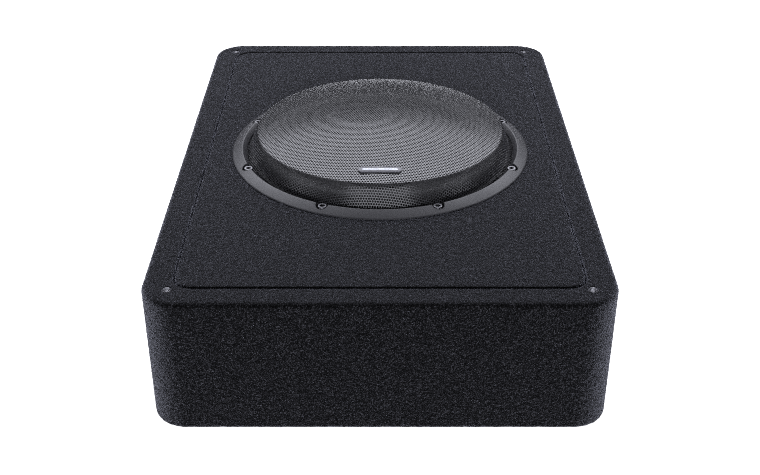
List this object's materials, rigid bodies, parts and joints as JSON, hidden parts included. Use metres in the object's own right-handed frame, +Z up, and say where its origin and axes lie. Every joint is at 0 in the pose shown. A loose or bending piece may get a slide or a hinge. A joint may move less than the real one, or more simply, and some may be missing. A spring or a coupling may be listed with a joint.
{
  "type": "powered car subwoofer",
  "caption": "Low carpeted cabinet with a round driver under a domed perforated grille, and an amplifier recessed in its rear wall.",
  "frame": {"origin": "middle of the underside", "axes": "+Z up along the driver's axis, front wall at -Y, amplifier in the rear wall at +Y"},
  "size_m": [0.3564, 0.514, 0.15],
  "materials": {
    "carpet": "matt needle-punch pile",
    "board": "raw fibreboard",
    "trim": "satin",
    "black_plastic": "satin",
    "grille_steel": "semi-gloss black paint",
    "basket_steel": "semi-gloss black paint",
    "zinc_steel": "zinc plated",
    "screw_steel": "black oxide, worn bright at the rim",
    "rubber": "matt",
    "cone_paper": "pressed pulp, matt",
    "copper": "enamelled copper wire",
    "former": "anodised",
    "spider_cloth": "resin-dipped cloth",
    "ferrite": "pressed ferrite, matt",
    "foam": "closed-cell foam",
    "filling": "loose fibre",
    "circuit": "solder mask",
    "fuse_plastic": "clear coloured",
    "anodised": "black anodised",
    "badge": "gloss black with a silver bar"
  },
  "bodies": {
    "root": {"bottom_carpet": "carpet", "bottom_panel": "board", "left_wall": "board", "right_wall": "board", "front_wall": "board", "rear_wall": "board", "corner_post_front_left": "board", "corner_post_front_right": "board", "corner_post_rear_left": "board", "corner_post_rear_right": "board", "corner_insert_front_left": "zinc_steel", "corner_insert_front_right": "zinc_steel", "corner_insert_rear_left": "zinc_steel", "corner_insert_rear_right": "zinc_steel", "baffle_frame": "board", "baffle_board": "board", "carpet_wrap": "carpet", "baffle_carpet": "carpet", "acoustic_wadding": "filling", "driver_basket": "basket_steel", "basket_gasket": "foam", "top_plate": "zinc_steel", "ring_magnet": "ferrite", "pole_yoke": "zinc_steel", "surround": "rubber", "spider": "spider_cloth", "terminal_block": "black_plastic", "tinsel_lead_left": "copper", "tinsel_lead_right": "copper", "speaker_lead": "rubber", "trim_ring": "trim", "driver_screw_1": "screw_steel", "driver_screw_2": "screw_steel", "driver_screw_3": "screw_steel", "driver_screw_4": "screw_steel", "driver_screw_5": "screw_steel", "driver_screw_6": "screw_steel", "driver_screw_7": "screw_steel", "driver_screw_8": "screw_steel", "grille": "grille_steel", "badge_plate": "badge", "amp_plate": "anodised", "amp_screw_1": "screw_steel", "amp_screw_2": "screw_steel", "amp_screw_3": "screw_steel", "amp_screw_4": "screw_steel", "line_input_jacks": "black_plastic", "high_level_socket": "black_plastic", "blade_fuse": "fuse_plastic", "power_terminal": "black_plastic", "amp_board": "circuit"},
    "cone_assembly": {"cone": "cone_paper", "dust_cap": "cone_paper", "coil_former": "former", "voice_coil": "copper"},
    "gain_knob": {"gain_knob": "black_plastic"},
    "lowpass_knob": {"lowpass_knob": "black_plastic"},
    "bass_knob": {"bass_knob": "black_plastic"},
    "phase_switch": {"phase_switch": "black_plastic"},
    "input_switch": {"input_switch": "black_plastic"}
  },
  "joints": [
    {"name": "cone_stroke", "type": "slide", "parent": "root", "child": "cone_assembly", "axis": [0, 0, 1], "range_m": [-0.008, 0.008], "stiffness_N_per_m": 5000, "deforming": ["surround", "spider", "tinsel_lead_left", "tinsel_lead_right"]},
    {"name": "gain_turn", "type": "hinge", "parent": "root", "child": "gain_knob", "pos_m": [0.088, 0.245, 0.066], "axis": [0, 1, 0], "range_deg": [-150, 150]},
    {"name": "lowpass_turn", "type": "hinge", "parent": "root", "child": "lowpass_knob", "pos_m": [0.066, 0.245, 0.066], "axis": [0, 1, 0], "range_deg": [-150, 150]},
    {"name": "bass_turn", "type": "hinge", "parent": "root", "child": "bass_knob", "pos_m": [0.044, 0.245, 0.066], "axis": [0, 1, 0], "range_deg": [-150, 150]},
    {"name": "phase_slide", "type": "slide", "parent": "root", "child": "phase_switch", "axis": [1, 0, 0], "range_m": [0, 0.004]},
    {"name": "input_slide", "type": "slide", "parent": "root", "child": "input_switch", "axis": [1, 0, 0], "range_m": [0, 0.004]}
  ]
}
